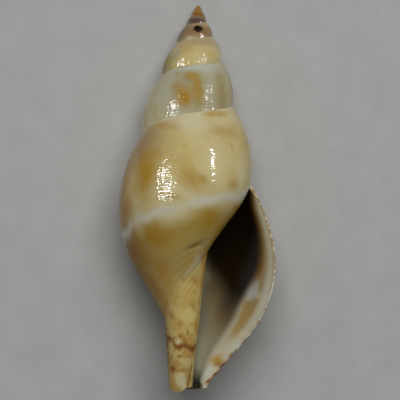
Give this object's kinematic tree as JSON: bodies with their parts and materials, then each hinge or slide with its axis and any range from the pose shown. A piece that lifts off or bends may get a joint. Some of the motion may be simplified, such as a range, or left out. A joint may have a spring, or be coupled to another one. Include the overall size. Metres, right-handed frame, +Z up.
{
  "type": "spindle-shaped sea shell",
  "caption": "Tall spindle-shaped sea shell with a coiled spire, a long open canal and a narrow aperture, lying on its side with the aperture up.",
  "frame": {"origin": "centre of the shell's footprint box, on the surface it lies on", "axes": "+Z up, +Y along the length towards the apex of the spire, +X towards the outer lip"},
  "size_m": [0.0122, 0.0286, 0.0101],
  "materials": {
    "shell": "glossy, cream and olive-yellow with ochre-brown blotches"
  },
  "bodies": {
    "root": {"shell": "shell"}
  },
  "joints": []
}
